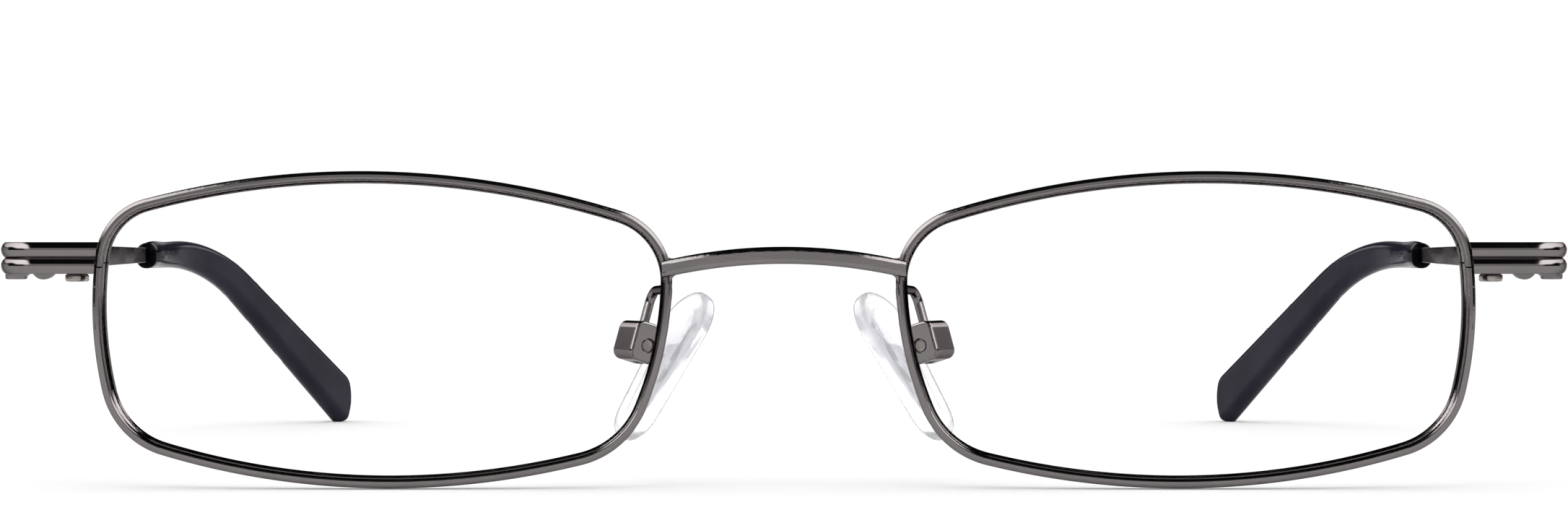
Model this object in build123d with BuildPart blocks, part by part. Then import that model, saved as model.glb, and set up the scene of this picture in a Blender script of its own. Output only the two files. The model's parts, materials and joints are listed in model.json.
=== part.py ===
from build123d import *
import os
from math import cos, radians, sin, sqrt, tan

# Rectangular metal eyeglasses with adjustable nose pads, in millimetres
# X runs across the face with the wearer's left at +X. The front looks along -Y and +Z is up.
# The frame stands on its two rims and its two temple tips at Z = 0.
# Depths are counted from the front edge of the rims at their sides, backwards.

# Rims: an outline of four arcs with rounded corners, bent to the curve of the lens
rim_width = 52.48
rim_height = 28.26
rim_gap = 19.5
rim_thickness = 0.78
rim_depth = 1.8
rim_outer_radius = 0.36
rim_inner_radius = 0.14
rim_taper = 14.0
face_radius = 131.0
corner_shares = [(-0.480, 0.390), (0.494, 0.337), (0.413, -0.406), (-0.455, -0.365)]
top_bow_share = 0.136
bottom_bow_share = 0.115
nasal_bow_share = 0.035
temporal_bow_share = 0.031
corner_radius_shares = [0.224, 0.250, 0.300, 0.282]

# Lenses, held by a bevel in the groove of the rim
lens_thickness = 1.5
bevel_width = 0.7
bevel_chamfer = 0.2
groove_depth = 0.35
seat_clearance = 0.03
shell_angle = 30.0

# Bridge: a bar that arches up and bows forward, lapped over the front of both rims
bridge_height = 1.5
bridge_thickness = 1.1
bridge_rise = 5.25
bridge_arch = 1.25
bridge_bow = 1.5
bridge_lap = 0.95
bridge_edge_radius = 0.42
upper_web_reach = 0.35
upper_web_run = 0.85
upper_web_rise = 0.62
lower_web_reach = 0.55
lower_web_run = 0.25
lower_web_drop = 1.05
web_depth = 1.2
web_inset = 0.05

# Endpieces: a strip with two rounded ridges that turns back towards the temple
strip_height = 2.8
strip_thickness = 1.0
strip_crown = 0.36
strip_edge_radius = 0.22
strip_rise = 6.25
endpiece_reach = 8.6
endpiece_setback = 0.25
endpiece_bend = 3.0

# Closing blocks on the two cut ends of each rim, drawn together by a screw from below
block_depth = 2.2
block_gap = 0.1
block_top_drop = 0.25
block_lap = 0.4
block_edge_radius = 0.2
slit_width = 0.12
slit_slope = 18.0
slit_drop = 0.78
closing_shank_radius = 0.6
closing_head_radius = 1.05
closing_head_height = 0.7
closing_head_edge = 0.26
closing_screw_length = 2.1

# Hinges of three knuckles
hinge_setback = 4.6
hinge_inset = 0.64
knuckle_radius = 0.97
knuckle_stack = 3.1
knuckle_drop = 0.5
knuckle_gap = 0.06
knuckle_edge_radius = 0.18
hinge_pin_radius = 0.4
hinge_head_radius = 0.7
hinge_head_height = 0.35
turning_clearance = 0.04
hinge_plate_width = 2.1
hinge_plate_thickness = 1.0
hinge_plate_centre = 3.65
hinge_tail_length = 0.6
hinge_leaf_length = 7.0
hinge_leaf_thickness = 0.62

# Temples: the strip narrows, then carries on as a flat core inside the plastic tip
temple_length = 134.3
strip_end_height = 1.55
strip_end_thickness = 0.95
strip_end_crown = 0.08
core_height = 1.4
core_thickness = 0.8
core_length = 48.0
core_sections = 13
inward_lead = 3.0
inward_radius = 44.0
inward_angle = 21.4
drop_lead = 13.3
drop_radius = 32.4
drop_angle = 29.0

# Temple tips: a moulded sleeve that deepens towards a slanted end
tip_length = 58.8
tip_front_height = 2.9
tip_front_thickness = 2.2
tip_end_height = 5.7
tip_end_thickness = 2.3
tip_even_share = 0.2
tip_round_share = 0.47
tip_nose_radius = 0.85
tip_end_radius = 4.2
tip_heel_radius = 1.3
tip_edge_radius = 0.4
tip_sections = 16

# Nose pads, each on a wire arm, a box and a screw that it rocks on
pad_length = 15.2
pad_top_radius = 3.7
pad_bottom_radius = 2.9
pad_thickness = 1.9
pad_edge_radius = 0.8
pad_splay = 30.0
pad_tilt = 32.0
pad_box_tilt = 17.0
pad_pivot_setback = 7.0
pad_pivot_inset = 3.25
pad_pivot_rise = -1.6
pad_offset = 3.12
pad_sag = 0.28
insert_thickness = 0.6
insert_margin = 1.7
insert_tab_width = 1.2
insert_tab_radius = 0.95
pad_rocking_room = 0.15

pad_box_depth = 3.5
pad_box_outer = 1.6
pad_box_inner = 1.6
pad_box_top = 2.05
pad_box_bottom = 1.5
pad_box_radius = 0.8
pad_box_wall = 0.4
pad_pin_radius = 0.5
pad_pin_recess = 0.15
pad_pin_hole_radius = 0.68
pad_pin_head_radius = 0.75
pad_pin_head_height = 0.4

arm_radius = 0.43
arm_root_rise = 2.7
arm_root_inset = 0.58
arm_loop_rise = 3.5
arm_loop_reach = 3.4
arm_drop = 3.0
arm_seat = 0.1
arm_bend = 1.15

overrun = 1.0


tip_start = temple_length - tip_length


def bend(run, start, radius, angle):
    """Distance forward and aside, and the turn, of a line that bends once after a straight start."""
    turn = radians(angle)
    if run < start:
        return run, 0.0, 0.0
    if run < start + radius * turn:
        part = (run - start) / radius
        return start + radius * sin(part), radius * (1 - cos(part)), part
    rest = run - start - radius * turn
    forward = start + radius * sin(turn) + rest * cos(turn)
    aside = radius * (1 - cos(turn)) + rest * sin(turn)
    return forward, aside, turn


def temple_reach(run):
    """Forward, inward and downward distance with both turns of the temple's middle line."""
    level, down, dip = bend(run, tip_start + drop_lead, drop_radius, drop_angle)
    forward, inward, turn = bend(level, tip_start + inward_lead, inward_radius, inward_angle)
    return forward, inward, down, turn, dip


# Places worked out from the sizes
side_sag = face_radius - sqrt(face_radius**2 - (rim_width / 2) ** 2)
edge_set = side_sag * tan(radians(rim_taper))
foot_sag = face_radius - sqrt(face_radius**2 - (rim_height / 2) ** 2)
foot_set = foot_sag * tan(radians(rim_taper))
lens_x = rim_gap / 2 + rim_width / 2 - edge_set
lens_z = rim_height / 2 - foot_set
temple_end = temple_reach(temple_length)
front_y = -(hinge_setback + temple_end[0] - bridge_bow - bridge_thickness) / 2
apex_y = front_y - side_sag
rim_side_x = lens_x + rim_width / 2 - edge_set
strip_z = lens_z + strip_rise
strip_x = rim_side_x + endpiece_reach - strip_thickness / 2
hinge_x = strip_x - hinge_inset
hinge_y = front_y + hinge_setback
knuckle_base_z = strip_z - strip_height / 2 - knuckle_drop
knuckle_height = knuckle_stack / 3
nasal_x = rim_gap / 2
plate_x = strip_x - hinge_plate_centre
block_width = plate_x - hinge_plate_width / 2 - block_gap - rim_side_x


def lens_plane(y):
    """Plane across the left lens, its own x towards the nose and its normal to the back."""
    return Plane(origin=(lens_x, y, lens_z), x_dir=(-1, 0, 0), z_dir=(0, 1, 0))


def rim_outline(inset):
    """Outline of the rim seen from the front, drawn in by the inset."""
    corners = [(x * rim_width, z * rim_height) for x, z in corner_shares]
    bows = [
        top_bow_share * rim_height,
        nasal_bow_share * rim_width,
        bottom_bow_share * rim_height,
        temporal_bow_share * rim_width,
    ]
    with BuildSketch() as outline:
        with BuildLine():
            for number in range(4):
                SagittaArc(corners[number], corners[(number + 1) % 4], bows[number])
        make_face()
        for corner, share in zip(corners, corner_radius_shares):
            fillet(outline.vertices().sort_by_distance(corner)[0], radius=share * rim_height)
        if inset:
            offset(amount=-inset, kind=Kind.INTERSECTION, mode=Mode.REPLACE)
    return outline.sketch


def face_shell(near, far):
    """Body between two spheres about the lens axis, near and far behind the front curve."""
    centre = Plane(origin=(lens_x, apex_y + face_radius, lens_z), x_dir=(1, 0, 0), z_dir=(0, 0, 1))
    with BuildPart() as shell:
        with BuildSketch(centre):
            with BuildLine():
                outer = CenterArc((0, 0), face_radius - near, -90, shell_angle)
                inner = CenterArc((0, 0), face_radius - far, -90, shell_angle)
                Line(outer @ 0, inner @ 0)
                Line(outer @ 1, inner @ 1)
            make_face()
        revolve(axis=Axis((lens_x, 0, lens_z), (0, 1, 0)))
    return shell.part


def tapered_block(inset):
    """Block behind the rim's outline that narrows steadily towards the back."""
    length = side_sag + rim_depth + 2 * overrun
    slope = tan(radians(rim_taper))
    with BuildPart() as block:
        with BuildSketch(lens_plane(apex_y - overrun)):
            add(rim_outline(inset - overrun * slope))
        with BuildSketch(lens_plane(apex_y - overrun + length)):
            add(rim_outline(inset + (length - overrun) * slope))
        loft(ruled=True)
    return block.part


def lens_plate(inset, near, far):
    """Plate with the rim's outline and tapered edge, bent to the curve of the lens."""
    with BuildPart() as plate:
        add(tapered_block(inset))
        add(face_shell(near, far), mode=Mode.INTERSECT)
    return plate.part


def bevel_plate(clearance):
    """The lens's edge ridge as a plate, or with a clearance the groove that takes it."""
    inset = rim_thickness - groove_depth + seat_clearance - clearance
    middle = rim_depth / 2
    half = bevel_width / 2 + clearance
    with BuildPart() as plate:
        add(lens_plate(inset, middle - half, middle + half))
        long_edges = plate.edges().filter_by(lambda edge: edge.length > 2 * bevel_width)
        chamfer(long_edges, length=bevel_chamfer)
    return plate.part


def slit_plane(shift):
    """Plane of the slanted cut through the rim and its closing blocks."""
    tilt = radians(slit_slope)
    return Plane(
        origin=(rim_side_x, front_y, strip_z - slit_drop + shift),
        x_dir=(1, 0, 0),
        z_dir=(0, -sin(tilt), cos(tilt)),
    )


def strip_section(thickness, height, crown):
    """Cross-section of the ridged strip, flat on the inner side and two lobes on the outer."""
    inner = thickness / 2
    root = crown - thickness / 2
    top = height / 2
    with BuildSketch() as section:
        with BuildLine():
            Polyline((root, top), (inner, top), (inner, -top), (root, -top))
            SagittaArc((root, -top), (root, 0), crown)
            SagittaArc((root, 0), (root, top), crown)
        make_face()
        outer_corners = section.vertices().filter_by(lambda v: abs(v.Y) > top / 2)
        fillet(outer_corners, radius=min(strip_edge_radius, crown, height / 5))
    return section.sketch


def temple_plane(run):
    """Plane across the left temple, its own x inward, y up and z along the temple."""
    forward, inward, down, turn, dip = temple_reach(run)
    return Plane(
        origin=(strip_x - inward, hinge_y + forward, strip_z - down),
        x_dir=(-cos(turn), -sin(turn), 0),
        z_dir=(-sin(turn) * cos(dip), cos(turn) * cos(dip), -sin(dip)),
    )


def pad_plane(tilt):
    """Plane through the pad's pivot, its own x outward, y up along the pad and z forward."""
    lean = radians(tilt)
    splay = radians(pad_splay)
    return Plane(
        origin=(nasal_x + pad_pivot_inset, front_y + pad_pivot_setback, lens_z + pad_pivot_rise),
        x_dir=(cos(lean) * cos(splay), -cos(lean) * sin(splay), sin(lean)),
        z_dir=(-sin(splay), -cos(splay), 0),
    )


# Left rim, with the groove for the lens and the slit between its two ends
with BuildPart() as rim:
    add(lens_plate(0, 0, rim_depth))
    outer_edges = rim.edges().filter_by(lambda edge: edge.length > 2 * rim_depth)
    fillet(outer_edges, radius=rim_outer_radius)
    add(tapered_block(rim_thickness), mode=Mode.SUBTRACT)
    inner_edges = rim.edges(Select.LAST).filter_by(lambda edge: edge.length > 2 * rim_depth)
    fillet(inner_edges, radius=rim_inner_radius)
    add(bevel_plate(seat_clearance), mode=Mode.SUBTRACT)

with BuildPart() as slit:
    with BuildSketch(slit_plane(0)):
        Rectangle(4 * block_width, 8 * block_depth)
    extrude(amount=slit_width / 2, both=True)

with BuildPart() as cut_rim:
    add(rim.part)
    add(slit.part, mode=Mode.SUBTRACT)

# Left lens: a curved plate with a bevelled edge
with BuildPart() as lens:
    middle = rim_depth / 2
    half = lens_thickness / 2
    add(lens_plate(rim_thickness + seat_clearance, middle - half, middle + half))
    add(bevel_plate(0))


# Left endpiece, brazed to the outside of the rim and bored for the hinge
with BuildPart() as hinge_seat:
    seat_radius = knuckle_radius + knuckle_gap
    with BuildSketch(Plane.XY.offset(knuckle_base_z - overrun)):
        with Locations((hinge_x, hinge_y)):
            Circle(seat_radius)
        with Locations((hinge_x + seat_radius, hinge_y)):
            Rectangle(2 * seat_radius, 2 * seat_radius)
    extrude(amount=knuckle_stack + 2 * overrun)

endpiece_y = front_y + endpiece_setback + strip_thickness / 2
endpiece_back_y = endpiece_y + strip_thickness / 2
with BuildPart() as endpiece:
    with BuildLine() as path:
        start = (rim_side_x - rim_thickness, endpiece_y, strip_z)
        turn = (strip_x, endpiece_y, strip_z)
        FilletPolyline(start, turn, (strip_x, hinge_y, strip_z), radius=endpiece_bend)
    with BuildSketch(Plane(origin=start, x_dir=(0, 1, 0), z_dir=(1, 0, 0))):
        add(strip_section(strip_thickness, strip_height, strip_crown))
    sweep()
    add(tapered_block(0), mode=Mode.SUBTRACT)
    add(hinge_seat.part, mode=Mode.SUBTRACT)

# Left closing blocks behind the endpiece, and their screw
block_base_z = strip_z - strip_height / 2
block_height = strip_height - block_top_drop
screw_x = rim_side_x + block_width / 2
screw_y = endpiece_back_y + block_depth / 2
with BuildPart() as closing_block:
    with BuildSketch(Plane.XY.offset(block_base_z)):
        with Locations((screw_x - block_lap / 2, screw_y)):
            Rectangle(block_width + block_lap, block_depth)
    extrude(amount=block_height)
    upright = closing_block.edges().filter_by(Axis.Z).group_by(Axis.Y)[-1]
    fillet(upright, radius=block_edge_radius)
    add(rim.part, mode=Mode.SUBTRACT)
    add(endpiece.part, mode=Mode.SUBTRACT)
    with BuildSketch(Plane.XY.offset(block_base_z - overrun)):
        with Locations((screw_x, screw_y)):
            Circle(closing_shank_radius + turning_clearance)
    extrude(amount=closing_screw_length + turning_clearance + overrun, mode=Mode.SUBTRACT)

with BuildPart() as upper_block:
    add(closing_block.part)
    split(bisect_by=slit_plane(slit_width / 2), keep=Keep.TOP)

with BuildPart() as lower_block:
    add(closing_block.part)
    split(bisect_by=slit_plane(-slit_width / 2), keep=Keep.BOTTOM)

with BuildPart() as closing_screw:
    with BuildSketch(Plane.XY.offset(block_base_z)):
        with Locations((screw_x, screw_y)):
            Circle(closing_head_radius)
    extrude(amount=-closing_head_height)
    fillet(closing_screw.edges().filter_by(GeomType.CIRCLE), radius=closing_head_edge)
    with BuildSketch(Plane.XY.offset(block_base_z)):
        with Locations((screw_x, screw_y)):
            Circle(closing_shank_radius)
    extrude(amount=closing_screw_length)
    with BuildSketch(Plane.XY.offset(block_base_z - closing_head_height)):
        with Locations((screw_x, screw_y)):
            Rectangle(3 * closing_head_radius, closing_shank_radius / 2)
    extrude(amount=closing_head_height / 3, mode=Mode.SUBTRACT)

# Left front hinge: a plate behind the endpiece, an arm and two of the three knuckles
knuckle_mid_z = knuckle_base_z + knuckle_stack / 2
plate_back_y = endpiece_back_y + hinge_plate_thickness
arm_side = knuckle_radius * sqrt(1 / 2)
plate_plane = Plane(origin=(plate_x, endpiece_back_y, 0), x_dir=(1, 0, 0), z_dir=(0, -1, 0))
with BuildPart() as front_hinge:
    with BuildSketch(Plane.XY.offset(knuckle_base_z)):
        with Locations((hinge_x, hinge_y)):
            Circle(knuckle_radius)
    extrude(amount=knuckle_stack)
    fillet(front_hinge.edges().filter_by(GeomType.CIRCLE).group_by(Axis.Z)[0], radius=knuckle_edge_radius)
    with BuildSketch(plate_plane):
        with Locations((0, knuckle_mid_z)):
            SlotOverall(knuckle_stack, hinge_plate_width, rotation=90)
    extrude(amount=-hinge_plate_thickness)
    with BuildSketch(Plane.XY.offset(block_base_z)):
        with BuildLine():
            Polyline(
                (plate_x + hinge_plate_width / 2, endpiece_back_y),
                (plate_x, plate_back_y),
                (hinge_x - arm_side, hinge_y - arm_side),
                (hinge_x, hinge_y),
                (hinge_x + arm_side, hinge_y - arm_side),
                close=True,
            )
        make_face()
    extrude(amount=knuckle_stack - knuckle_drop)
    with BuildSketch(Plane(origin=(hinge_x, hinge_y, 0), x_dir=(1, 0, 0), z_dir=(0, -1, 0))):
        with BuildLine():
            Polyline(
                (0, knuckle_base_z),
                (-arm_side, knuckle_base_z),
                (-arm_side - hinge_tail_length, block_base_z),
                (0, block_base_z),
                close=True,
            )
        make_face()
    extrude(amount=knuckle_radius)
    add(endpiece.part, mode=Mode.SUBTRACT)
    with BuildSketch(Plane.XY.offset(knuckle_base_z + knuckle_height - knuckle_gap / 2)):
        with Locations((hinge_x, hinge_y)):
            Circle(knuckle_radius + knuckle_gap)
    extrude(amount=knuckle_height + knuckle_gap, mode=Mode.SUBTRACT)
    with BuildSketch(Plane.XY.offset(knuckle_base_z - overrun)):
        with Locations((hinge_x, hinge_y)):
            Circle(hinge_pin_radius + turning_clearance)
    extrude(amount=knuckle_stack + 2 * overrun, mode=Mode.SUBTRACT)
    with BuildSketch(Plane.XY.offset(knuckle_base_z + knuckle_stack - hinge_head_height)):
        with Locations((hinge_x, hinge_y)):
            Circle(hinge_head_radius + turning_clearance)
    extrude(amount=hinge_head_height + overrun, mode=Mode.SUBTRACT)

# Left temple hinge: the middle knuckle on a leaf along the inside of the temple
leaf_x = hinge_x + hinge_inset - strip_thickness / 2
with BuildPart() as temple_hinge:
    with BuildSketch(Plane.XY.offset(knuckle_base_z + knuckle_height + knuckle_gap / 2)):
        with Locations((hinge_x, hinge_y)):
            Circle(knuckle_radius)
        with Locations((leaf_x - hinge_leaf_thickness / 2, hinge_y + knuckle_radius)):
            Rectangle(hinge_leaf_thickness, 2 * knuckle_radius)
    extrude(amount=knuckle_height - knuckle_gap)
    leaf_front_y = hinge_y + knuckle_radius + knuckle_gap
    leaf_middle = (leaf_x, leaf_front_y + hinge_leaf_length / 2, strip_z)
    with BuildSketch(Plane(origin=leaf_middle, x_dir=(0, 1, 0), z_dir=(-1, 0, 0))):
        Rectangle(hinge_leaf_length, strip_height - 2 * strip_edge_radius)
        fillet(vertices().group_by(Axis.X)[-1], radius=strip_height / 3)
    extrude(amount=hinge_leaf_thickness)
    with BuildSketch(Plane.XY.offset(knuckle_base_z)):
        with Locations((hinge_x, hinge_y)):
            Circle(hinge_pin_radius + turning_clearance)
    extrude(amount=knuckle_stack, mode=Mode.SUBTRACT)

# Left hinge screw, its head let into the top knuckle
with BuildPart() as hinge_screw:
    with BuildSketch(Plane.XY.offset(knuckle_base_z)):
        with Locations((hinge_x, hinge_y)):
            Circle(hinge_pin_radius)
    extrude(amount=knuckle_stack - hinge_head_height)
    with BuildSketch(Plane.XY.offset(knuckle_base_z + knuckle_stack)):
        with Locations((hinge_x, hinge_y)):
            Circle(hinge_head_radius)
    extrude(amount=-hinge_head_height)
    with BuildSketch(Plane.XY.offset(knuckle_base_z + knuckle_stack)):
        with Locations((hinge_x, hinge_y)):
            Rectangle(3 * hinge_head_radius, hinge_pin_radius / 2)
    extrude(amount=-hinge_head_height / 2, mode=Mode.SUBTRACT)

# Left temple: the narrowing strip and the core inside the tip
def core_body(grown):
    """The flat core that follows the turns of the temple, grown by a clearance."""
    with BuildPart() as core:
        for number in range(core_sections):
            share = number / (core_sections - 1)
            with BuildSketch(temple_plane(tip_start + share * core_length)):
                Rectangle(core_thickness + 2 * grown, core_height + 2 * grown)
        loft()
    return core.part


with BuildPart() as temple:
    with BuildSketch(temple_plane(0)):
        add(strip_section(strip_thickness, strip_height, strip_crown))
    with BuildSketch(temple_plane(tip_start)):
        add(strip_section(strip_end_thickness, strip_end_height, strip_end_crown))
    loft(ruled=True)
    add(core_body(0))
    add(hinge_seat.part, mode=Mode.SUBTRACT)

# Left temple tip: a sleeve over the core, with a rounded nose and a slanted end
with BuildSketch() as tip_profile:
    with Locations((-2 * tip_end_height, 0)):
        Rectangle(4 * tip_end_height, tip_end_height + 2 * seat_clearance)
    fillet(tip_profile.vertices().group_by(Axis.X)[-1].sort_by(Axis.Y)[-1], radius=tip_end_radius)
    fillet(tip_profile.vertices().group_by(Axis.X)[-1].sort_by(Axis.Y)[0], radius=tip_heel_radius)

with BuildPart() as temple_tip:
    for number in range(tip_sections):
        share = number / (tip_sections - 1)
        growth = max(0, share - tip_even_share) / (1 - tip_even_share)
        height = tip_front_height + (tip_end_height - tip_front_height) * growth
        thickness = tip_front_thickness + (tip_end_thickness - tip_front_thickness) * growth
        with BuildSketch(temple_plane(tip_start + share * tip_length)):
            RectangleRounded(thickness, height, tip_round_share * thickness)
    loft()
    nose = temple_tip.faces().sort_by(Axis.Y)[0]
    fillet(nose.edges(), radius=tip_nose_radius)
    end = temple_plane(temple_length)
    with BuildSketch(Plane(origin=end.origin, x_dir=end.z_dir, z_dir=-end.x_dir)):
        Rectangle(3 * tip_end_height, 3 * tip_end_height)
        add(tip_profile.sketch, mode=Mode.SUBTRACT)
    extrude(amount=tip_end_height, both=True, mode=Mode.SUBTRACT)
    fillet(temple_tip.edges(Select.LAST), radius=tip_edge_radius)
    add(core_body(seat_clearance), mode=Mode.SUBTRACT)

# Bridge: the overlap of its arched front view and its bowed plan, with webs to both rims
bridge_end_x = nasal_x + bridge_lap
bridge_end_z = lens_z + bridge_rise
bridge_mid_z = bridge_end_z + bridge_arch
front_view = Plane(origin=(0, front_y, 0), x_dir=(1, 0, 0), z_dir=(0, -1, 0))


def bridge_face():
    """The arched bar seen from the front."""
    half = bridge_height / 2
    with BuildSketch() as face:
        with BuildLine():
            upper = ThreePointArc(
                (-bridge_end_x, bridge_end_z + half),
                (0, bridge_mid_z + half),
                (bridge_end_x, bridge_end_z + half),
            )
            lower = ThreePointArc(
                (-bridge_end_x, bridge_end_z - half),
                (0, bridge_mid_z - half),
                (bridge_end_x, bridge_end_z - half),
            )
            Line(upper @ 0, lower @ 0)
            Line(upper @ 1, lower @ 1)
        make_face()
    return face.sketch


def bridge_edge(x, way):
    """Height of the bar's upper or lower edge, just inside it, at a distance from the middle."""
    radius = (bridge_end_x**2 + bridge_arch**2) / (2 * bridge_arch)
    return bridge_mid_z + way * (bridge_height / 2 - web_inset) - radius + sqrt(radius**2 - x**2)


with BuildPart() as bridge_bar:
    with BuildSketch(front_view.offset(-overrun)):
        add(bridge_face())
    extrude(amount=bridge_thickness + bridge_bow + 2 * overrun)
    with BuildSketch(Plane.XY.offset(bridge_end_z - bridge_height)):
        with BuildLine():
            near = ThreePointArc(
                (-bridge_end_x, front_y - bridge_thickness),
                (0, front_y - bridge_thickness - bridge_bow),
                (bridge_end_x, front_y - bridge_thickness),
            )
            far = ThreePointArc(
                (-bridge_end_x, front_y),
                (0, front_y - bridge_bow),
                (bridge_end_x, front_y),
            )
            Line(near @ 0, far @ 0)
            Line(near @ 1, far @ 1)
        make_face()
    extrude(amount=2 * bridge_height + 2 * bridge_arch, mode=Mode.INTERSECT)
    fillet(bridge_bar.edges().filter_by(lambda edge: edge.length > nasal_x), radius=bridge_edge_radius)

with BuildPart() as bridge_webs:
    webs = [
        (1, upper_web_reach, upper_web_run, upper_web_rise),
        (-1, lower_web_reach, lower_web_run, lower_web_drop),
    ]
    with BuildSketch(front_view.offset(bridge_thickness / 2)):
        for way, reach, run, rise in webs:
            near_x = nasal_x - reach
            far_x = nasal_x + run
            near_z = bridge_edge(near_x, way)
            far_z = bridge_edge(far_x, way)
            start = (near_x, near_z)
            end = (far_x, far_z + way * rise)
            with BuildLine():
                TangentArc(start, end, tangent=(far_x - near_x, far_z - near_z))
                Polyline(end, (nasal_x + rim_thickness / 2, bridge_end_z), (near_x, bridge_end_z), start)
            make_face()
    extrude(amount=-web_depth - bridge_thickness / 2)

with BuildPart() as bridge:
    add(bridge_bar.part)
    add(bridge_webs.part)
    mirror(bridge_webs.part, about=Plane.YZ)
    add(rim.part, mode=Mode.SUBTRACT)
    add(mirror(rim.part, about=Plane.YZ, mode=Mode.PRIVATE), mode=Mode.SUBTRACT)

# Left pad box: a block with a mouth towards the nose, bored for the pad's screw
box_plane = pad_plane(pad_box_tilt)
pin_axis = Axis(box_plane.origin, box_plane.z_dir)
box_length = pad_box_outer + pad_box_inner
box_height = pad_box_top + pad_box_bottom
mouth_half = insert_tab_width / 2 + turning_clearance
box_centre = ((pad_box_outer - pad_box_inner) / 2, (pad_box_top - pad_box_bottom) / 2)
with BuildPart() as pad_box:
    with BuildSketch(box_plane):
        with Locations(box_centre):
            Rectangle(box_length, box_height)
    extrude(amount=pad_box_depth / 2, both=True)
    fillet(pad_box.edges().filter_by(pin_axis), radius=pad_box_radius)
    cheeks = pad_box.faces().filter_by(pin_axis)
    fillet(cheeks.edges(), radius=pad_box_radius / 3)
    with BuildSketch(box_plane):
        with Locations(((insert_tab_radius + pad_rocking_room - pad_box_inner - overrun) / 2, 0)):
            Rectangle(
                insert_tab_radius + pad_rocking_room + pad_box_inner + overrun,
                2 * insert_tab_radius + 2 * pad_rocking_room,
            )
        with Locations((-box_length / 2, -box_height / 2)):
            Rectangle(box_length, box_height)
    extrude(amount=mouth_half, both=True, mode=Mode.SUBTRACT)
    with BuildSketch(box_plane.offset(-pad_box_depth)):
        Circle(pad_pin_radius + turning_clearance)
    extrude(amount=2 * pad_box_depth, mode=Mode.SUBTRACT)
    with BuildSketch(box_plane.offset(pad_box_depth / 2 - pad_box_wall)):
        Circle(pad_pin_hole_radius)
    extrude(amount=pad_box_wall + overrun, mode=Mode.SUBTRACT)

# Left pad screw, its head on the back cheek of the box
with BuildPart() as pad_screw:
    with BuildSketch(box_plane.offset(-pad_box_depth / 2)):
        Circle(pad_pin_radius)
    extrude(amount=pad_box_depth - pad_pin_recess)
    with BuildSketch(box_plane.offset(-pad_box_depth / 2)):
        Circle(pad_pin_head_radius)
    extrude(amount=-pad_pin_head_height)
    with BuildSketch(box_plane.offset(-pad_box_depth / 2 - pad_pin_head_height)):
        Rectangle(3 * pad_pin_head_radius, pad_pin_radius / 2)
    extrude(amount=pad_pin_head_height / 2, mode=Mode.SUBTRACT)

# Left pad arm: a wire that rises behind the rim and comes down into the top of the box
with BuildPart() as pad_arm:
    with BuildLine() as wire:
        root = (nasal_x + arm_root_inset, front_y + rim_depth - rim_outer_radius, lens_z + arm_root_rise)
        loop = (nasal_x + arm_root_inset, front_y + arm_loop_reach, lens_z + arm_loop_rise)
        above = box_plane.from_local_coords((arm_seat, pad_box_top + arm_drop, 0))
        foot = box_plane.from_local_coords((arm_seat, pad_box_top - pad_box_wall, 0))
        FilletPolyline(root, loop, above, foot, radius=arm_bend)
    with BuildSketch(Plane(origin=wire.line @ 0, z_dir=wire.line % 0)):
        Circle(arm_radius)
    sweep()
    add(rim.part, mode=Mode.SUBTRACT)
    add(pad_box.part, mode=Mode.SUBTRACT)

# Left nose pad and the clear insert moulded into it
rest_plane = pad_plane(pad_tilt)
pad_face = Plane(
    origin=rest_plane.from_local_coords((-pad_offset, -pad_sag, 0)),
    x_dir=rest_plane.y_dir,
    z_dir=rest_plane.x_dir,
)


def pad_outline(inset):
    """Egg-shaped outline of the pad, wider at the top, drawn in by the inset."""
    with BuildSketch() as outline:
        with Locations((pad_length / 2 - pad_top_radius, 0)):
            Circle(pad_top_radius - inset)
        with Locations((pad_bottom_radius - pad_length / 2, 0)):
            Circle(pad_bottom_radius - inset)
        make_hull()
    return outline.sketch


with BuildPart() as pad_insert:
    with BuildSketch(pad_face):
        add(pad_outline(insert_margin))
    extrude(amount=insert_thickness / 2, both=True)
    with BuildSketch(rest_plane):
        Circle(insert_tab_radius)
        with Locations((-pad_offset / 2, 0)):
            Rectangle(pad_offset, insert_tab_radius)
    extrude(amount=insert_tab_width / 2, both=True)
    with BuildSketch(rest_plane.offset(-insert_tab_width)):
        Circle(pad_pin_radius + turning_clearance)
    extrude(amount=2 * insert_tab_width, mode=Mode.SUBTRACT)

with BuildPart() as nose_pad:
    with BuildSketch(pad_face):
        add(pad_outline(0))
    extrude(amount=pad_thickness / 2, both=True)
    fillet(nose_pad.edges(), radius=pad_edge_radius)
    add(pad_insert.part, mode=Mode.SUBTRACT)

# Every piece but the bridge is made twice: as above on the left, mirrored on the right
pieces = {
    "rim": cut_rim,
    "lens": lens,
    "endpiece": endpiece,
    "upper_closing_block": upper_block,
    "lower_closing_block": lower_block,
    "closing_screw": closing_screw,
    "front_hinge": front_hinge,
    "temple_hinge": temple_hinge,
    "hinge_screw": hinge_screw,
    "temple": temple,
    "temple_tip": temple_tip,
    "pad_arm": pad_arm,
    "pad_box": pad_box,
    "pad_screw": pad_screw,
    "pad_insert": pad_insert,
    "nose_pad": nose_pad,
}

os.makedirs("parts", exist_ok=True)
bridge.part.label = "bridge"
export_step(bridge.part, "parts/bridge.step")
for name, piece in pieces.items():
    with BuildPart() as left:
        add(piece.part)
    left.part.label = f"{name}_left"
    export_step(left.part, f"parts/{name}_left.step")
    with BuildPart() as right:
        mirror(piece.part, about=Plane.YZ)
    right.part.label = f"{name}_right"
    export_step(right.part, f"parts/{name}_right.step")
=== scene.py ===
import json
from math import cos, pi, radians, sin

import bmesh
import bpy
from mathutils import Matrix, Vector


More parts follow.
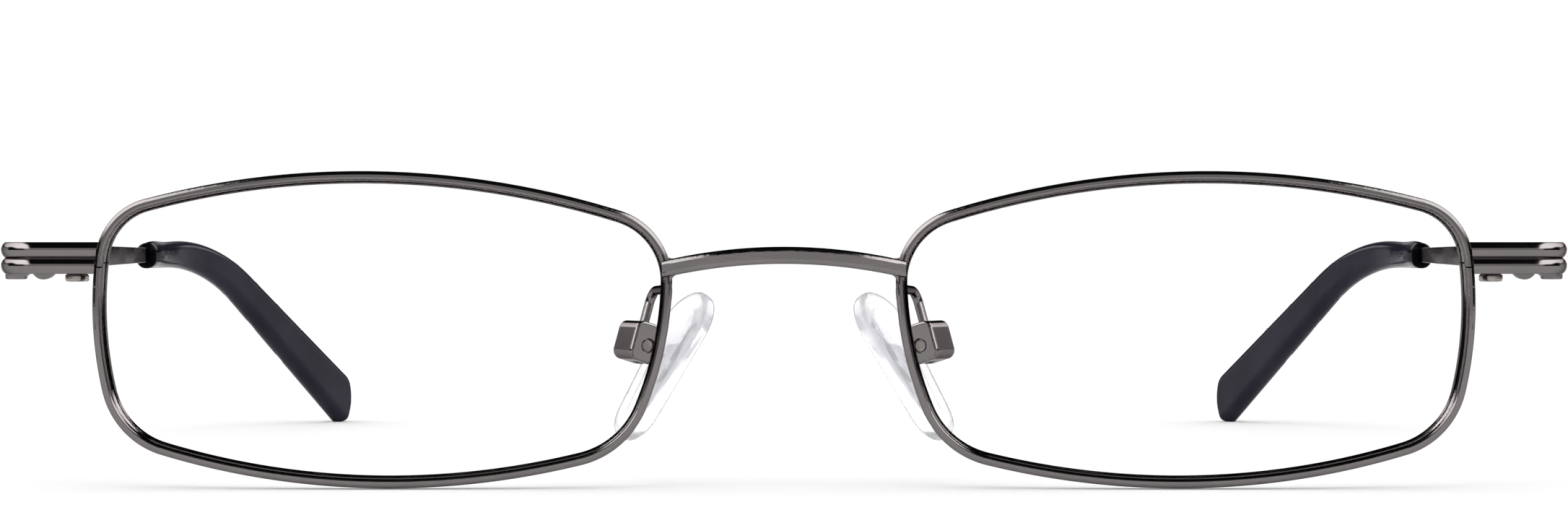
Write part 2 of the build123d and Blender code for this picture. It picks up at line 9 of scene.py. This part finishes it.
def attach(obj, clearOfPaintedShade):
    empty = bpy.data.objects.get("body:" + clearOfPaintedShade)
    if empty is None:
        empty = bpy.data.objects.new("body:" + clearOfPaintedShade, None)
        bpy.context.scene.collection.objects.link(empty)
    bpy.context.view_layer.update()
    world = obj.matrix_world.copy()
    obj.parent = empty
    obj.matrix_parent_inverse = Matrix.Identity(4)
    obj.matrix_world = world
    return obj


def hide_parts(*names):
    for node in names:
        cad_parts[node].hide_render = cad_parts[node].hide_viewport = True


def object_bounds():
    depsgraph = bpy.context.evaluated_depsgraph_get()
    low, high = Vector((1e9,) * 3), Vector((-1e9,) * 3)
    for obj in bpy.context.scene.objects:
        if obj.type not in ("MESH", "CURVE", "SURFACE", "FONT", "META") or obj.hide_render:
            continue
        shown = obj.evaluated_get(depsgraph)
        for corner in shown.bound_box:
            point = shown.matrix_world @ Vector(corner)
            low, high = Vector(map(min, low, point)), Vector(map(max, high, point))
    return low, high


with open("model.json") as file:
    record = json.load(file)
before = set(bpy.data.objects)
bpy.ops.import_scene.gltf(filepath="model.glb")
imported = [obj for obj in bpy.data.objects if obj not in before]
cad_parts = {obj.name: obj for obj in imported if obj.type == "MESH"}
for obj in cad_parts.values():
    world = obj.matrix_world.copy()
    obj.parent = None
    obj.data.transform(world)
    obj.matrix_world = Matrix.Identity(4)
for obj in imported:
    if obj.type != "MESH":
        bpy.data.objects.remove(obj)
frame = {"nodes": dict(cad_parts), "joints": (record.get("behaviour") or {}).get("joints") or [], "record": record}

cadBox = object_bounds()
nodes = frame["nodes"]
sides = {"left": 1, "right": -1}
jointPlaces = {joint["name"]: Vector(joint["pos_m"]) for joint in frame["joints"]}
print("frame loaded:", len(nodes), "pieces")


# Small helpers for shader trees
def newMaterial(name):
    material = bpy.data.materials.new(name)
    material.use_nodes = True
    tree = material.node_tree
    tree.nodes.clear()
    output = tree.nodes.new("ShaderNodeOutputMaterial")
    return material, tree, output


def addNode(tree, kind, **settings):
    node = tree.nodes.new(kind)
    for key, value in settings.items():
        setattr(node, key, value)
    return node


def feed(tree, value, socket):
    # a number or colour is typed into the socket, anything else is linked
    if isinstance(value, bpy.types.NodeSocket):
        tree.links.new(value, socket)
    else:
        socket.default_value = value


def maths(tree, operation, first, second=0.0):
    node = addNode(tree, "ShaderNodeMath", operation=operation)
    feed(tree, first, node.inputs[0])
    feed(tree, second, node.inputs[1])
    return node.outputs[0]


def multiply(tree, *factors):
    product = factors[0]
    for factor in factors[1:]:
        product = maths(tree, "MULTIPLY", product, factor)
    return product


def ramp(tree, value, low, high, start=0.0, end=1.0):
    node = addNode(tree, "ShaderNodeMapRange", interpolation_type="SMOOTHSTEP")
    feed(tree, value, node.inputs["Value"])
    feed(tree, low, node.inputs["From Min"])
    feed(tree, high, node.inputs["From Max"])
    feed(tree, start, node.inputs["To Min"])
    feed(tree, end, node.inputs["To Max"])
    return node.outputs["Result"]


def fade(tree, value, low, high):
    return ramp(tree, value, low, high, 1.0, 0.0)


def band(tree, value, near, nearEnd, far, farEnd):
    # 1 between two soft edges, 0 outside them
    return multiply(tree, ramp(tree, value, near, nearEnd), fade(tree, value, far, farEnd))


def spread(tree, mask, span):
    # the first value of the span where the mask is 0, the second where it is 1
    return ramp(tree, mask, 0.0, 1.0, *span)


def mixColours(tree, factor, first, second):
    # a Mix node's colours are its inputs 6 and 7 and its output 2
    node = addNode(tree, "ShaderNodeMix", data_type="RGBA")
    feed(tree, factor, node.inputs["Factor"])
    feed(tree, first, node.inputs[6])
    feed(tree, second, node.inputs[7])
    return node.outputs[2]


def mixNumbers(tree, factor, first, second):
    # and its numbers are inputs 2 and 3 and output 0
    node = addNode(tree, "ShaderNodeMix", data_type="FLOAT")
    feed(tree, factor, node.inputs["Factor"])
    feed(tree, first, node.inputs[2])
    feed(tree, second, node.inputs[3])
    return node.outputs[0]


def splitPlace(tree, place):
    # the X, Y and Z of a point or a direction
    split = addNode(tree, "ShaderNodeSeparateXYZ")
    tree.links.new(place, split.inputs[0])
    return split.outputs


def seenDirectly(tree):
    # 1 for what the camera, a mirror finish or clear glass looks at
    path = addNode(tree, "ShaderNodeLightPath")
    seen = maths(tree, "MAXIMUM", path.outputs["Is Camera Ray"], path.outputs["Is Transmission Ray"])
    return maths(tree, "MAXIMUM", seen, path.outputs["Is Glossy Ray"])


# The room: pale ahead and behind, dark cards overhead, at the sides and at the rear, two softboxes.
# A soft edge has a start and an end, along one axis of the direction looked in
roomSetup = {
    "frontLevel": 0.64,  # behind the camera
    "backLevel": (1.0, 0.22),  # behind the glasses, low down and high up
    "backFade": (0.05, 0.30),
    "frontToBack": (-0.3, 0.3),
    "cardLevel": 0.012,  # the little that a dark card still gives
    "cardHeight": (0.32, 0.46),
    "cardHalfWidth": (0.42, 0.56),
    "sideCard": (0.60, 0.68),
    "sideCardDepth": (0.10, 0.30),
    "sideCardHeight": (0.30, 0.44),
    "rearCard": (0.07, 0.13, 0.48, 0.54),
    "rearCardDepth": (0.50, 0.70),
    "boxLevel": 3.2,  # the softboxes, one on each side
    "boxHeight": (0.22, 0.34, 0.84, 0.93),
    "boxSide": (0.36, 0.48, 0.86, 0.95),
}


def darkCards(tree, side, depth, height):
    overhead = multiply(
        tree,
        ramp(tree, height, *roomSetup["cardHeight"]),
        fade(tree, side, *roomSetup["cardHalfWidth"]),
    )
    beside = multiply(
        tree,
        ramp(tree, side, *roomSetup["sideCard"]),
        fade(tree, depth, *roomSetup["sideCardDepth"]),
        fade(tree, maths(tree, "ABSOLUTE", height), *roomSetup["sideCardHeight"]),
    )
    rear = multiply(
        tree,
        band(tree, side, *roomSetup["rearCard"]),
        ramp(tree, depth, *roomSetup["rearCardDepth"]),
    )
    return maths(tree, "MAXIMUM", rear, maths(tree, "MAXIMUM", overhead, beside))


def buildRoom():
    world = bpy.data.worlds.new("studioRoom")
    bpy.context.scene.world = world
    world.use_nodes = True
    tree = world.node_tree
    tree.nodes.clear()
    axes = splitPlace(tree, addNode(tree, "ShaderNodeTexCoord").outputs["Generated"])
    side = maths(tree, "ABSOLUTE", axes["X"])
    depth = axes["Y"]
    height = axes["Z"]

    back = ramp(tree, height, *roomSetup["backFade"], *roomSetup["backLevel"])
    walls = ramp(tree, depth, *roomSetup["frontToBack"], roomSetup["frontLevel"], back)
    uncovered = maths(tree, "SUBTRACT", 1.0, darkCards(tree, side, depth, height))
    level = maths(tree, "ADD", multiply(tree, walls, uncovered), roomSetup["cardLevel"])
    boxes = multiply(
        tree,
        band(tree, height, *roomSetup["boxHeight"]),
        band(tree, side, *roomSetup["boxSide"]),
        roomSetup["boxLevel"],
    )
    level = maths(tree, "ADD", level, boxes)

    # only polished surfaces mirror the room; the camera, clear pieces and matt ones get plain white
    path = addNode(tree, "ShaderNodeLightPath")
    mirrored = maths(tree, "MINIMUM", path.outputs["Glossy Depth"], 1.0)
    neverMatt = maths(tree, "LESS_THAN", path.outputs["Diffuse Depth"], 0.5)
    background = addNode(tree, "ShaderNodeBackground")
    feed(tree, (1, 1, 1, 1), background.inputs["Color"])
    strength = mixNumbers(tree, multiply(tree, mirrored, neverMatt), 1.0, level)
    feed(tree, strength, background.inputs["Strength"])
    output = addNode(tree, "ShaderNodeOutputWorld")
    tree.links.new(background.outputs[0], output.inputs["Surface"])


floorSetup = {
    "halfSize": 6.0,
    "litColour": (0.80, 0.80, 0.80, 1),  # as it lights the glasses
    "seenColour": (1.0, 1.0, 1.0, 1),  # as it is looked at
}


def buildFloor():
    mesh = bpy.data.meshes.new("floor")
    build = bmesh.new()
    bmesh.ops.create_grid(build, x_segments=1, y_segments=1, size=floorSetup["halfSize"])
    bmesh.ops.translate(build, verts=build.verts, vec=(0, 0, cadBox[0][2]))
    build.to_mesh(mesh)
    build.free()
    floor = bpy.data.objects.new("floor", mesh)
    bpy.context.scene.collection.objects.link(floor)
    material, tree, output = newMaterial("paleFloor")
    colour = mixColours(tree, seenDirectly(tree), floorSetup["litColour"], floorSetup["seenColour"])
    diffuse = addNode(tree, "ShaderNodeBsdfDiffuse")
    feed(tree, colour, diffuse.inputs["Color"])
    tree.links.new(diffuse.outputs[0], output.inputs["Surface"])
    mesh.materials.append(material)


lampSetup = {
    "place": (-0.25, -0.35, 0.75),
    "size": 0.7,
    "energy": 0.6,
}


def buildLamp():
    data = bpy.data.lights.new("keyLamp", "AREA")
    data.size = lampSetup["size"]
    data.energy = lampSetup["energy"]
    lamp = bpy.data.objects.new("keyLamp", data)
    bpy.context.scene.collection.objects.link(lamp)
    lamp.location = lampSetup["place"]
    lamp.rotation_euler = (-Vector(lampSetup["place"])).to_track_quat("-Z", "Y").to_euler()  # at the origin
    lamp.visible_glossy = False


cameraSetup = {
    "place": (0.0, -0.41458, 0.0216),
    "pitch": 90.0,  # level, looking straight at the front
    "lens": 91.4,
    "sensor": 36.0,
    "shiftPixels": -27,  # sets eye level this far above the middle of the photograph
    "photoWidthPixels": 2172,
    "clipStart": 0.01,
}


def buildCamera():
    data = bpy.data.cameras.new("camera")
    data.lens = cameraSetup["lens"]
    data.sensor_width = cameraSetup["sensor"]
    data.shift_y = cameraSetup["shiftPixels"] / cameraSetup["photoWidthPixels"]
    data.clip_start = cameraSetup["clipStart"]
    camera = bpy.data.objects.new("camera", data)
    bpy.context.scene.collection.objects.link(camera)
    camera.location = cameraSetup["place"]
    camera.rotation_euler = (radians(cameraSetup["pitch"]), 0, 0)
    bpy.context.scene.camera = camera


bpy.context.scene.view_settings.view_transform = "Standard"
buildRoom()
buildFloor()
buildLamp()
buildCamera()
print("room, floor, lamp and camera set")


# Soft smudges and fine hairlines from wiping, one node group that every finish shares
handlingSetup = {
    "smudgeScale": 90.0,  # both scales hold where a finish has none of its own
    "hairlineScale": 900.0,
    "smudgeDetail": 4,
    "smudgeEdge": (0.35, 0.68),
    "hairlineDetail": 2,
    "hairlineStretch": (0.06, 1.0, 1.0),  # hairlines run from side to side
}
handlingInputs = {"Smudge Scale": "smudgeScale", "Hairline Scale": "hairlineScale"}


def buildHandlingGroup():
    group = bpy.data.node_groups.new("handling", "ShaderNodeTree")
    for label, key in handlingInputs.items():
        socket = group.interface.new_socket(name=label, in_out="INPUT", socket_type="NodeSocketFloat")
        socket.default_value = handlingSetup[key]
    for label in ("Smudge", "Hairline"):
        group.interface.new_socket(name=label, in_out="OUTPUT", socket_type="NodeSocketFloat")
    start = group.nodes.new("NodeGroupInput")
    end = group.nodes.new("NodeGroupOutput")
    place = addNode(group, "ShaderNodeTexCoord")

    smudge = addNode(group, "ShaderNodeTexNoise")
    group.links.new(place.outputs["Object"], smudge.inputs["Vector"])
    group.links.new(start.outputs["Smudge Scale"], smudge.inputs["Scale"])
    smudge.inputs["Detail"].default_value = handlingSetup["smudgeDetail"]
    group.links.new(ramp(group, smudge.outputs["Fac"], *handlingSetup["smudgeEdge"]), end.inputs["Smudge"])

    stretch = addNode(group, "ShaderNodeMapping")
    stretch.inputs["Scale"].default_value = handlingSetup["hairlineStretch"]
    group.links.new(place.outputs["Object"], stretch.inputs["Vector"])
    lines = addNode(group, "ShaderNodeTexNoise")
    group.links.new(stretch.outputs[0], lines.inputs["Vector"])
    group.links.new(start.outputs["Hairline Scale"], lines.inputs["Scale"])
    lines.inputs["Detail"].default_value = handlingSetup["hairlineDetail"]
    group.links.new(lines.outputs["Fac"], end.inputs["Hairline"])
    return group


handlingGroup = buildHandlingGroup()


def placeHandling(tree, setup):
    node = addNode(tree, "ShaderNodeGroup", node_tree=handlingGroup)
    for label, key in handlingInputs.items():
        if key in setup:
            node.inputs[label].default_value = setup[key]
    return node.outputs


def bump(tree, height, strength, distance):
    node = addNode(tree, "ShaderNodeBump")
    node.inputs["Strength"].default_value = strength
    node.inputs["Distance"].default_value = distance
    feed(tree, height, node.inputs["Height"])
    return node.outputs["Normal"]


def principled(tree, output, **values):
    shader = addNode(tree, "ShaderNodeBsdfPrincipled")
    for label, value in values.items():
        feed(tree, value, shader.inputs[label.replace("_", " ")])
    tree.links.new(shader.outputs[0], output.inputs["Surface"])
    return shader


# Metals: grey plating on the frame, brighter steel for the screws
gunmetalSetup = {
    "colour": (0.196, 0.180, 0.179, 1),
    "smudgeColour": (0.176, 0.165, 0.165, 1),
    "edgeTint": (0.34, 0.32, 0.33, 1),  # keeps a grazing view from turning white
    "roughness": (0.07, 0.13),
    "smudgeScale": 160.0,
    "hairlineScale": 2600.0,
    "hairlineStrength": 0.05,
    "hairlineDepth": 0.00002,
}

screwSetup = {
    "colour": (0.33, 0.30, 0.28, 1),
    "smudgeColour": (0.24, 0.215, 0.205, 1),
    "edgeTint": (1.0, 1.0, 1.0, 1),
    "roughness": (0.16, 0.30),
    "smudgeScale": 900.0,
    "hairlineScale": 6000.0,
    "hairlineStrength": 0.12,
    "hairlineDepth": 0.00002,
}


def makeMetal(name, setup):
    material, tree, output = newMaterial(name)
    handling = placeHandling(tree, setup)
    smudge = handling["Smudge"]
    principled(
        tree,
        output,
        Base_Color=mixColours(tree, smudge, setup["colour"], setup["smudgeColour"]),
        Metallic=1.0,
        Roughness=spread(tree, smudge, setup["roughness"]),
        Specular_Tint=setup["edgeTint"],
        Normal=bump(tree, handling["Hairline"], setup["hairlineStrength"], setup["hairlineDepth"]),
    )
    return material


# Dark plastic of the temple tips, with painted shade making the rounded nose that meets the metal blackest
tipSetup = {
    "colour": (0.017, 0.015, 0.025, 1),
    "dustColour": (0.024, 0.021, 0.034, 1),
    # painted shade on the nose: a near black colour and little shine over a short length from the front of the tip
    "paintedShadeNoseColour": (0.002, 0.002, 0.003, 1),
    "paintedShadeLength": (0.0018, 0.0042),
    "shine": (0.01, 0.04),  # on the nose, on the rest
    "roughness": (0.10, 0.16),
    "smudgeScale": 120.0,
    "hairlineScale": 1500.0,
    "hairlineStrength": 0.004,
    "hairlineDepth": 0.00001,
}


def makeTipPlastic():
    material, tree, output = newMaterial("tipPlastic")
    handling = placeHandling(tree, tipSetup)
    smudge = handling["Smudge"]
    front = min(corner[1] for corner in nodes["temple_tip_left"].bound_box)
    start, end = tipSetup["paintedShadeLength"]
    place = splitPlace(tree, addNode(tree, "ShaderNodeTexCoord").outputs["Object"])
    # painted shade mask: 0 on the nose, where colour and shine go dark, rising to 1 on the rest of the tip
    clearOfPaintedShade = ramp(tree, place["Y"], front + start, front + end)
    colour = mixColours(tree, smudge, tipSetup["colour"], tipSetup["dustColour"])
    principled(
        tree,
        output,
        Base_Color=mixColours(tree, clearOfPaintedShade, tipSetup["paintedShadeNoseColour"], colour),
        Roughness=spread(tree, smudge, tipSetup["roughness"]),
        Specular_IOR_Level=spread(tree, clearOfPaintedShade, tipSetup["shine"]),
        Normal=bump(tree, handling["Hairline"], tipSetup["hairlineStrength"], tipSetup["hairlineDepth"]),
    )
    return material


def clearOfShadow(tree, shader, output):
    # clear pieces let the light through to the floor
    path = addNode(tree, "ShaderNodeLightPath")
    through = addNode(tree, "ShaderNodeBsdfTransparent")
    mix = addNode(tree, "ShaderNodeMixShader")
    tree.links.new(path.outputs["Is Shadow Ray"], mix.inputs[0])
    tree.links.new(shader.outputs[0], mix.inputs[1])
    tree.links.new(through.outputs[0], mix.inputs[2])
    tree.links.new(mix.outputs[0], output.inputs["Surface"])


def facing(tree, normal, axis):
    # how squarely a surface looks along one of the piece's own axes, whichever way
    own = addNode(
        tree,
        "ShaderNodeVectorTransform",
        vector_type="NORMAL",
        convert_from="WORLD",
        convert_to="OBJECT",
    )
    tree.links.new(normal, own.inputs[0])
    return maths(tree, "ABSOLUTE", splitPlace(tree, own.outputs[0])[axis])


lensSetup = {
    "colour": (0.995, 0.998, 0.997, 1),
    "ior": 1.02,  # low, so that what is behind shows unbent
    "coating": (0.05, 0.06, 0.07, 1),  # what the coating leaves of the reflection
    "edgeFacing": (0.84, 0.86),  # the bevel faces away by more than this and is left clear
    "roughness": (0.0, 0.006),
    "smudgeScale": 60.0,
}


def makeLensGlass():
    material, tree, output = newMaterial("lensGlass")
    flat = addNode(tree, "ShaderNodeNewGeometry").outputs["True Normal"]
    shader = principled(
        tree,
        output,
        Base_Color=lensSetup["colour"],
        Roughness=spread(tree, placeHandling(tree, lensSetup)["Smudge"], lensSetup["roughness"]),
        IOR=lensSetup["ior"],
        Transmission_Weight=1.0,
        Alpha=ramp(tree, facing(tree, flat, "Y"), *lensSetup["edgeFacing"]),
        Normal=flat,
        Specular_Tint=lensSetup["coating"],
    )
    clearOfShadow(tree, shader, output)
    return material


# Clear plastics: soft silicone round each nose pad's stiff insert, both a little wavy and cloudy
siliconeSetup = {
    "colour": (0.90, 0.90, 0.925, 1),
    "cloudColour": (0.97, 0.97, 0.985, 1),
    "roughness": (0.05, 0.22),
    "ior": 1.34,
    "clearness": 0.80,
    "smudgeScale": 260.0,
    "waveStrength": 0.15,
    "waveDepth": 0.0002,
}

insertSetup = {
    "colour": (0.80, 0.80, 0.83, 1),
    "cloudColour": (0.93, 0.93, 0.95, 1),
    "roughness": (0.03, 0.16),
    "ior": 1.22,
    "clearness": 0.85,
    "smudgeScale": 700.0,
    "waveStrength": 0.2,
    "waveDepth": 0.0002,
}


def makeClearPlastic(name, setup):
    material, tree, output = newMaterial(name)
    smudge = placeHandling(tree, setup)["Smudge"]
    shader = principled(
        tree,
        output,
        Base_Color=mixColours(tree, smudge, setup["colour"], setup["cloudColour"]),
        Roughness=spread(tree, smudge, setup["roughness"]),
        IOR=setup["ior"],
        Transmission_Weight=setup["clearness"],
        Normal=bump(tree, smudge, setup["waveStrength"], setup["waveDepth"]),
    )
    clearOfShadow(tree, shader, output)
    return material


finishes = {
    "gunmetal": makeMetal("gunmetalPlating", gunmetalSetup),
    "screw_steel": makeMetal("screwSteel", screwSetup),
    "clear_lens": makeLensGlass(),
    "black_tip": makeTipPlastic(),
    "clear_silicone": makeClearPlastic("clearSilicone", siliconeSetup),
    "clear_insert": makeClearPlastic("clearInsert", insertSetup),
}


def dressNodes():
    slots = {part["node"]: part["material_slot"] for part in frame["record"]["subparts"]}
    for name, piece in nodes.items():
        for slot in piece.material_slots:
            slot.material = finishes[slots[name]]


dressNodes()
print("materials placed")


# Nose pads: a crowned drop of clear silicone round the insert
padSetup = {
    "length": 0.0152,
    "topRadius": 0.0037,
    "bottomRadius": 0.0029,
    "thickness": 0.0019,
    "fullness": 3.4,  # 2 gives a round section, more a squarer one
    "splay": 30.0,
    "tilt": 32.0,
    "offset": 0.00312,
    "sag": 0.00028,
    "rings": 14,
    "points": 72,
}


def padPlace(side):
    # turns the pad's own length, width and thickness into place on the left or right
    lean = radians(padSetup["tilt"])
    splay = radians(padSetup["splay"])
    outward = Vector((cos(lean) * cos(splay), -cos(lean) * sin(splay), sin(lean)))
    forward = Vector((-sin(splay), -cos(splay), 0))
    upward = forward.cross(outward)
    pivot = jointPlaces["pad_rock_left"]
    centre = pivot - outward * padSetup["offset"] - upward * padSetup["sag"]
    turned = Matrix((upward, forward, outward)).transposed().to_4x4()
    return Matrix.Scale(sides[side], 4, (1, 0, 0)) @ Matrix.Translation(centre) @ turned


def makeNosePad(side):
    build = bmesh.new()
    half = padSetup["thickness"] / 2
    power = padSetup["fullness"]
    ends = [
        (padSetup["length"] / 2 - padSetup["topRadius"], padSetup["topRadius"]),
        (padSetup["bottomRadius"] - padSetup["length"] / 2, padSetup["bottomRadius"]),
    ]
    for centre, radius in ends:
        for ring in range(1, padSetup["rings"] + 1):
            angle = ring / padSetup["rings"] * pi / 2
            width = sin(angle) ** (2 / power)
            height = cos(angle) ** (2 / power) if ring < padSetup["rings"] else 0
            for level in {height * half, -height * half}:  # a set, so the widest ring comes once
                bmesh.ops.create_circle(
                    build,
                    segments=padSetup["points"],
                    radius=radius * width,
                    matrix=Matrix.Translation((centre, 0, level)),
                )
    bmesh.ops.convex_hull(build, input=build.verts)
    loose = [vert for vert in build.verts if not vert.link_faces]
    bmesh.ops.delete(build, geom=loose, context="VERTS")
    bmesh.ops.transform(build, matrix=padPlace(side), verts=build.verts)
    bmesh.ops.recalc_face_normals(build, faces=build.faces)
    for face in build.faces:
        face.smooth = True
    mesh = bpy.data.meshes.new("silicone_pad_" + side)
    build.to_mesh(mesh)
    build.free()
    mesh.materials.append(finishes["clear_silicone"])
    pad = bpy.data.objects.new("silicone_pad_" + side, mesh)
    bpy.context.scene.collection.objects.link(pad)
    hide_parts("nose_pad_" + side)
    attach(pad, "pad_" + side)


for side in sides:
    makeNosePad(side)
print("nose pads made")
